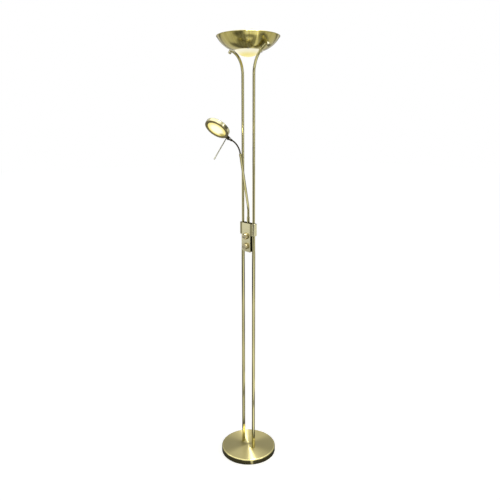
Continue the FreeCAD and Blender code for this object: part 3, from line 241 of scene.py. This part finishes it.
def softbox(name, side, distance, height, width, depth, watts):
    """A soft lamp at an angle round from the front, turned to face the middle of the lamp's axis."""
    box = bpy.data.lights.new(name, "AREA")
    box.shape = "RECTANGLE"
    box.size, box.size_y = width, depth
    box.energy = watts
    holder = bpy.data.objects.new(name, box)
    turned = math.radians(side)
    fall = lamp_middle - height
    holder.location = (distance * math.sin(turned), -distance * math.cos(turned), height)
    holder.rotation_euler = (math.pi / 2 + math.atan2(fall, distance), 0, turned)
    bpy.context.scene.collection.objects.link(holder)
    return holder


overhead = softbox("overhead_box", side=100, distance=0.75, height=3.4, width=0.5, depth=0.5, watts=175)
overhead.visible_diffuse = False      # it draws highlights and throws no second shadow
softbox("left_box", side=-40, distance=2.6, height=1.9, width=0.3, depth=1.4, watts=5)
softbox("right_box", side=110, distance=2.6, height=1.9, width=0.3, depth=1.6, watts=7)


# ---- base ------------------------------------------------------------------------------------------
# A spun steel cover, brass plated and brushed in circles on its top, over a cast-iron disc on a foam
# pad. Its rounded edge and wall are smoother. The cord's bush is in the wall behind the stems.

def coat(material, flow, sockets, *cad_nodes):
    """Close the material with its surface shader and put it on CAD nodes."""
    surface = flow.node("ShaderNodeBsdfPrincipled", inputs=sockets)
    flow.node("ShaderNodeOutputMaterial", inputs={"Surface": surface})
    for node in cad_nodes:
        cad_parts[node].material_slots[0].material = material


def between(mask, low, high):
    """The colour low where the mask is 0 and high where it is 1; either may be a Flow."""
    rgba = [colour if isinstance(colour, Flow) else (*colour, 1.0) for colour in (low, high)]
    return mask.node("ShaderNodeMix", {"data_type": "RGBA"}, {0: mask, 6: rgba[0], 7: rgba[1]}, output=2)


def spot(flow):
    """The place on the lamp, in metres."""
    return flow.node("ShaderNodeTexCoord", output="Object")


def grain(flow, vector, scale, detail=3.0):
    """Noise between 0 and 1, about scale lumps to the metre; three scales stretch it along the axes."""
    scales = scale if isinstance(scale, tuple) else (scale, scale, scale)
    stretched = flow.node("ShaderNodeVectorMath", {"operation": "MULTIPLY"}, {0: vector, 1: scales})
    return flow.node("ShaderNodeTexNoise", inputs={"Vector": stretched, "Scale": 1.0, "Detail": detail})


def turning_marks(flow, places, scale, detail=3.0):
    """Fine circles round an axis: noise on places, the distance from it and the place along it alone."""
    return grain(flow, flow.node("ShaderNodeCombineXYZ", inputs=places), scale, detail)


def bump(flow, height, depth):
    """A normal that follows a height between 0 and 1, depth metres high."""
    return flow.node("ShaderNodeBump", inputs={"Height": height, "Distance": depth, "Strength": 1.0})


wall_top, wall_bottom = 0.0205, 0.0180            # where the rounded edge has turned into the wall
edge_start, edge_full = 0.1165, 0.1190            # and where it starts, from the axis
quarter_turn = 0.25                               # stretches the highlights across the brushed circles

cover_brass, flow = finish("circle_brushed_brass")
x, y, z = xyz(spot(flow))
radius = (x * x + y * y) ** 0.5
circles = turning_marks(flow, {0: radius, 2: z}, 1400.0)
cloud = grain(flow, spot(flow), 9.0)
wall = rise(z, wall_top, wall_bottom)
rounded = rise(radius, edge_start, edge_full)
top = between(circles * 0.7 + cloud * 0.3, (0.280, 0.243, 0.105), (0.400, 0.355, 0.172))
side = between(cloud, (0.46, 0.405, 0.170), (0.56, 0.505, 0.240))
coat(cover_brass, flow, {
    "Base Color": between(rounded, top, side), "Metallic": 1.0,
    "Roughness": 0.38 - rounded * 0.18 - wall * 0.08,
    "Anisotropic": 1.0, "Anisotropic Rotation": quarter_turn}, "base_cover")

iron, flow = finish("painted_iron")
lumps = grain(flow, spot(flow), 260.0)
coat(iron, flow, {
    "Base Color": between(lumps, (0.012, 0.012, 0.013), (0.035, 0.034, 0.033)),
    "Roughness": 0.62, "Normal": bump(flow, lumps, 0.0006)}, "base_weight")

foam, flow = finish("black_foam")
pores = grain(flow, spot(flow), 700.0)
coat(foam, flow, {
    "Base Color": between(pores, (0.008, 0.008, 0.008), (0.03, 0.03, 0.03)),
    "Roughness": 0.95, "Normal": bump(flow, pores, 0.0004)}, "base_pad")

black, flow = finish("black_moulding")
skin = grain(flow, spot(flow), 900.0)
coat(black, flow, {
    "Base Color": between(skin, (0.010, 0.010, 0.009), (0.022, 0.021, 0.019)),
    "Roughness": 0.42, "Normal": bump(flow, skin, 0.00005)},
    "cord_gland", "switch_back", "collar_core")

zinc, flow = finish("zinc_plate")
spangle = grain(flow, spot(flow), 180.0)
coat(zinc, flow, {
    "Base Color": between(spangle, (0.42, 0.41, 0.37), (0.62, 0.60, 0.54)),
    "Metallic": 1.0, "Roughness": 0.34},
    "foot_nipples", "foot_washers", "foot_nuts", "foot_inserts", "set_screws", "case_screws",
    "dimmer_nuts", "spindle_upper", "spindle_lower", "arm_retainer", "bracket_screws", "tilt_screw",
    "tilt_nut", "dish_clips", "clip_screws", "post_nipples", "post_nuts", "lamp_bracket", "holder_screws")


# ---- stems -----------------------------------------------------------------------------------------
# Six drawn steel tubes in line, brass plated and polished lengthwise, which leaves faint lines along
# them. The upper pair sweeps outwards to the bowl's posts.

along_tubes = (260.0, 260.0, 0.8)                 # the lines hardly change with height
tube_edge = (0.36, 0.28, 0.08, 1.0)               # tint of what a tube's edge mirrors

tube_brass, flow = finish("polished_tube_brass")
streak = rise(grain(flow, spot(flow), along_tubes, 2.0), 0.30, 0.70)
coat(tube_brass, flow, {
    "Base Color": between(streak, (0.395, 0.360, 0.165), (0.515, 0.475, 0.245)),
    "Metallic": 1.0, "Roughness": streak * 0.02 + 0.060, "Specular Tint": tube_edge},
    "lower_stem_left", "lower_stem_right", "middle_stem_left", "middle_stem_right",
    "upper_stem_left", "upper_stem_right", "arm_tube", "arm_ring", "arm_ferrule", "swivel_bush")


# ---- collar and switch unit ------------------------------------------------------------------------
# A cast band round the stems, in one piece with the apron for the two dimmers, brushed and plated,
# and a moulded black box behind it. The band's round ends have coarser brushing marks and are painted
# darker than its face, as painted shade; the apron's sides are painted near-black, as painted shade.

band_bottom, apron_side = 1.0142, 0.0289
band_blend, apron_blend, side_blend = 0.001, 0.0004, 0.0003
end_start, end_full = 0.0262, 0.0272              # the band's round ends, coarsely brushed and painted darker, from the middle
end_fading, end_gone = 0.0395, 0.0415

cast_brass, flow = finish("brushed_cast_brass")
x, y, z = xyz(spot(flow))
beside = x.maths("ABSOLUTE", x)
brush = grain(flow, spot(flow), (40.0, 40.0, 900.0), 2.0)
marks = grain(flow, spot(flow), (5.0, 5.0, 260.0), 1.0)
under_band = rise(z, band_bottom, band_bottom - apron_blend)
on_band = rise(z, band_bottom, band_bottom + band_blend)
# The apron's side flanges are painted near-black: painted shade for the dark gap between the apron and the
# black box.
painted_shade_sides = rise(beside, apron_side - side_blend, apron_side) * under_band
rounded_end = rise(beside, end_start, end_full) * rise(beside, end_gone, end_fading) * on_band
face = between(brush, (0.58, 0.535, 0.300), (0.76, 0.715, 0.460))
# The round ends: coarse brushing marks, painted much darker than the face as painted shade for the dark they
# mirror.
end_marks_and_painted_shade = between(marks, (0.17, 0.150, 0.070), (0.34, 0.310, 0.165))
coat(cast_brass, flow, {
    "Base Color": between(painted_shade_sides, between(rounded_end, face, end_marks_and_painted_shade), (0.012, 0.010, 0.004)),
    "Metallic": 1.0, "Roughness": brush * 0.06 + 0.13}, "collar")

grey, flow = finish("grey_moulding")
skin = grain(flow, spot(flow), 900.0)
coat(grey, flow, {
    "Base Color": between(skin, (0.10, 0.10, 0.105), (0.15, 0.15, 0.155)),
    "Roughness": 0.5}, "dimmer_upper", "dimmer_lower")

board, flow = finish("green_board")
weave = grain(flow, spot(flow), (900.0, 900.0, 300.0))
coat(board, flow, {
    "Base Color": between(weave, (0.01, 0.05, 0.02), (0.02, 0.085, 0.035)),
    "Roughness": 0.3, "Coat Weight": 0.4}, "dimmer_board")


# ---- knobs -----------------------------------------------------------------------------------------
# Turned brass knobs of one pattern, satin plated, with fine turning marks round their axes. They are
# pushed onto the dimmers' spindles.

upper_knob, lower_knob = 1.009, 0.966             # heights of the knobs' axes

knob_brass, flow = finish("satin_knob_brass")
x, y, z = xyz(spot(flow))
offset = z.maths("MINIMUM", z.maths("ABSOLUTE", z - upper_knob), z.maths("ABSOLUTE", z - lower_knob))
radius = (x * x + offset * offset) ** 0.5
turning = turning_marks(flow, {0: radius, 1: y}, 1500.0, 2.0)
coat(knob_brass, flow, {
    "Base Color": between(turning, (0.44, 0.380, 0.215), (0.60, 0.530, 0.335)),
    "Metallic": 1.0, "Roughness": turning * 0.08 + 0.20}, "knob_upper", "knob_lower")


# ---- reading head ----------------------------------------------------------------------------------
# A spun drum with a bezel round a frosted glass, a halogen capsule behind it, and a thin steel rod
# beside the bezel for aiming the hot head.

head_drop, head_twist = -40.4, 7.0                # degrees, about the level screw and about the neck
tilt_screw = np.array((0, -0.097272, 1.409947))
neck_heading = np.array((0, -0.91355, 0.40674))
head_reach, head_setback = 0.066, 0.012


def swung(vector, axis, degrees):
    """Turn a vector about a unit axis: v cos a + (k x v) sin a + k (k.v)(1 - cos a)."""
    angle = math.radians(degrees)
    v, k = np.array(vector, float), np.array(axis, float)
    return v * math.cos(angle) + np.cross(k, v) * math.sin(angle) + k * k.dot(v) * (1 - math.cos(angle))


def posed(vector):
    """From the head's own level frame to where it hangs at rest."""
    return swung(swung(vector, (1, 0, 0), head_drop), neck_heading, head_twist)


head_middle = tilt_screw + posed((0, -head_reach, -head_setback))     # centre of the bezel's front
head_axis = posed((0, 0, 1))
line_front, line_back = (0.0142, 0.0152), (0.0190, 0.0178)            # a dark line painted round the dome's edge, as painted shade


def from_head(flow):
    """Distance from the head's axis, and height behind the bezel's front."""
    offset = flow.node("ShaderNodeVectorMath", {"operation": "SUBTRACT"}, {0: spot(flow), 1: head_middle})
    sideways = flow.node("ShaderNodeVectorMath", {"operation": "CROSS_PRODUCT"}, {0: offset, 1: head_axis})
    radius = flow.node("ShaderNodeVectorMath", {"operation": "LENGTH"}, {0: sideways}, output=1)
    behind = flow.node("ShaderNodeVectorMath", {"operation": "DOT_PRODUCT"},
                       {0: offset, 1: head_axis}, output=1)
    return radius, behind


shell_brass, flow = finish("polished_head_brass")
radius, behind = from_head(flow)
buffing = turning_marks(flow, {0: radius, 1: behind}, 700.0)
# A dark line painted round the dome's edge: painted shade for the dark reflection in the curved edge.
painted_shade_line = rise(behind, *line_front) * rise(behind, *line_back)
polished = between(buffing, (0.46, 0.43, 0.24), (0.58, 0.55, 0.34))
coat(shell_brass, flow, {
    "Base Color": between(painted_shade_line, polished, (0.10, 0.085, 0.030)),
    "Metallic": 1.0, "Roughness": buffing * 0.04 + 0.10}, "head_shell")

ring_brass, flow = finish("satin_ring_brass")
radius, behind = from_head(flow)
turning = turning_marks(flow, {0: radius, 1: behind}, 1300.0)
coat(ring_brass, flow, {
    "Base Color": between(turning, (0.20, 0.165, 0.062), (0.30, 0.255, 0.110)),
    "Metallic": 1.0, "Roughness": turning * 0.06 + 0.24}, "head_ring")

glass_middle, glass_rim = 0.017, 0.036            # where the light starts to yellow, and has yellowed
shade_reach, shade_full = 0.022, 0.009            # how far the holder's painted shadow on the lit glass goes
holder_box = np.array(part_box("capsule_holder"))
holder_middle = tuple(holder_box.sum(axis=0) / 2)

lit_pane, flow = finish("lit_head_glass")
radius, behind = from_head(flow)
frost = grain(flow, spot(flow), 900.0)
yellowed = rise(radius, glass_middle, glass_rim)
warm = between(yellowed, (1.0, 0.96, 0.80), (0.96, 0.82, 0.22))
gap = flow.node("ShaderNodeVectorMath", {"operation": "DISTANCE"},
                {0: spot(flow), 1: holder_middle}, output=1)
# The capsule holder's shadow on the lit glass is painted into the glow's colour: a painted shadow.
shade = rise(gap, shade_reach, shade_full)
coat(lit_pane, flow, {
    "Base Color": (0.28, 0.26, 0.15, 1.0), "Roughness": 0.30,
    "Emission Color": between(shade, warm, (0.36, 0.29, 0.02)), "Emission Strength": 0.90,
    "Normal": bump(flow, frost, 0.0001)}, "head_glass")

# The neck's near-black colour is painted shade: it stands for the dark that the thin neck mirrors.
neck_painted_shade, flow = finish("neck_with_painted_shade")
drawn = grain(flow, spot(flow), (300.0, 80.0, 80.0))
coat(neck_painted_shade, flow, {
    "Base Color": between(drawn, (0.022, 0.019, 0.008), (0.050, 0.043, 0.018)),
    "Metallic": 1.0, "Roughness": drawn * 0.06 + 0.20}, "arm_neck", "knuckle", "head_bracket")

mirror, flow = finish("bright_reflector")
facet = grain(flow, spot(flow), 300.0)
coat(mirror, flow, {
    "Base Color": between(facet, (0.78, 0.78, 0.76), (0.90, 0.90, 0.88)),
    "Metallic": 1.0, "Roughness": 0.16}, "head_reflector")

clay, flow = finish("glazed_ceramic")
speck = grain(flow, spot(flow), 400.0)
coat(clay, flow, {
    "Base Color": between(speck, (0.74, 0.71, 0.64), (0.84, 0.82, 0.76)),
    "Roughness": 0.45}, "capsule_holder", "lamp_holder_left", "lamp_holder_right")

quartz, flow = finish("lit_quartz")
glow = grain(flow, spot(flow), (80.0, 400.0, 400.0))
coat(quartz, flow, {
    "Base Color": (1.0, 0.98, 0.9, 1.0), "Roughness": 0.05,
    "Emission Color": between(glow, (1.0, 0.93, 0.68), (1.0, 0.97, 0.82)),
    "Emission Strength": 3.0}, "capsule_lamp", "linear_lamp")

rod_steel, flow = finish("satin_rod_steel")
drawn = grain(flow, spot(flow), (300.0, 300.0, 60.0))
coat(rod_steel, flow, {
    "Base Color": between(drawn, (0.17, 0.165, 0.105), (0.27, 0.265, 0.185)),
    "Metallic": 1.0, "Roughness": 0.3}, "head_handle", "handle_tip")


# ---- bowl ------------------------------------------------------------------------------------------
# A spun and plated bowl, brushed from floor to rim, with a frosted glass dish hung through its hole,
# and two turned posts that the stems plug into.

dish_bottom, dish_top = 1.727, 1.742              # the dish glows yellower towards its bottom

bowl_brass, flow = finish("spun_bowl_brass")
x, y, z = xyz(spot(flow))
reach = level_length(x, y)
spoke = flow.node("ShaderNodeCombineXYZ", inputs={0: x / reach, 1: y / reach, 2: z})
streak = rise(grain(flow, spoke, (26.0, 26.0, 6.0)), 0.25, 0.75)
fine = grain(flow, spoke, (160.0, 160.0, 10.0))
coat(bowl_brass, flow, {
    "Base Color": between(streak * 0.7 + fine * 0.3, (0.335, 0.280, 0.070), (0.505, 0.445, 0.160)),
    "Metallic": 1.0, "Roughness": streak * 0.05 + 0.155,
    "Coat Weight": 0.12, "Coat Roughness": 0.08}, "bowl")

lit_dish, flow = finish("lit_dish_glass")
frost = grain(flow, spot(flow), 900.0)
upper = rise(xyz(spot(flow))[2], dish_bottom, dish_top)
coat(lit_dish, flow, {
    "Base Color": (0.28, 0.26, 0.16, 1.0), "Roughness": 0.30,
    "Emission Color": between(upper, (0.95, 0.82, 0.26), (1.0, 0.95, 0.74)), "Emission Strength": 0.78,
    "Normal": bump(flow, frost, 0.0001)}, "bowl_dish")

post_brass, flow = finish("polished_post_brass")
haze = grain(flow, spot(flow), 80.0)
coat(post_brass, flow, {
    "Base Color": between(haze, (0.50, 0.465, 0.28), (0.62, 0.585, 0.39)),
    "Metallic": 1.0, "Roughness": 0.08}, "bowl_post_left", "bowl_post_right")
